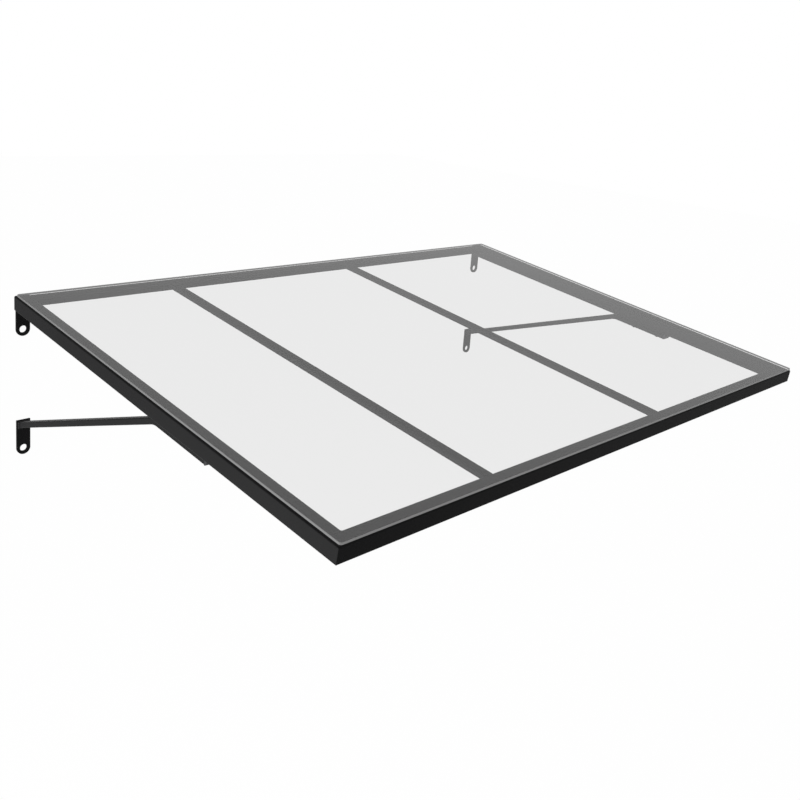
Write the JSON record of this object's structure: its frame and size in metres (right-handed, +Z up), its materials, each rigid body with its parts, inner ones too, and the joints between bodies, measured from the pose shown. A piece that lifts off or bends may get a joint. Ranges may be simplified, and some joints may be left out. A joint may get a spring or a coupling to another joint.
{
  "type": "door canopy",
  "caption": "Rigid door canopy: sloping black steel tube frame under a clear flat sheet, fixed to the wall by hanging tabs at its back and bent tube arms below.",
  "frame": {"origin": "on the wall's face at the canopy's mid width, level with the centres of the upper wall holes", "axes": "+X along the wall to the right as seen from outside, +Y into the wall, +Z up"},
  "size_m": [1.42, 0.9974, 0.3435],
  "materials": {
    "powder_coat": "black powder coat, satin with a very fine grain",
    "clear_sheet": "clear rigid sheet, glossy, with a pale ground edge",
    "bedding_tape": "black double-sided bedding tape",
    "cap_plastic": "black moulded plastic",
    "screw_steel": "blackened steel",
    "nut_steel": "bright zinc plate"
  },
  "bodies": {
    "root": {"back_rail": "powder_coat", "front_rail": "powder_coat", "side_rail_left": "powder_coat", "side_rail_right": "powder_coat", "rafter_1": "powder_coat", "rafter_2": "powder_coat", "clear_sheet": "clear_sheet", "tape_back": "bedding_tape", "tape_front": "bedding_tape", "tape_side_left": "bedding_tape", "tape_side_right": "bedding_tape", "tape_rafter_1": "bedding_tape", "tape_rafter_2": "bedding_tape", "upper_tab_left": "powder_coat", "upper_tab_right": "powder_coat", "lower_plate_left": "powder_coat", "lower_plate_right": "powder_coat", "arm_left": "powder_coat", "arm_right": "powder_coat", "arm_cap_left": "cap_plastic", "arm_cap_right": "cap_plastic", "arm_screw_left_1": "screw_steel", "arm_screw_left_2": "screw_steel", "arm_screw_right_1": "screw_steel", "arm_screw_right_2": "screw_steel", "rivet_nut_left_1": "nut_steel", "rivet_nut_left_2": "nut_steel", "rivet_nut_right_1": "nut_steel", "rivet_nut_right_2": "nut_steel"}
  },
  "joints": []
}
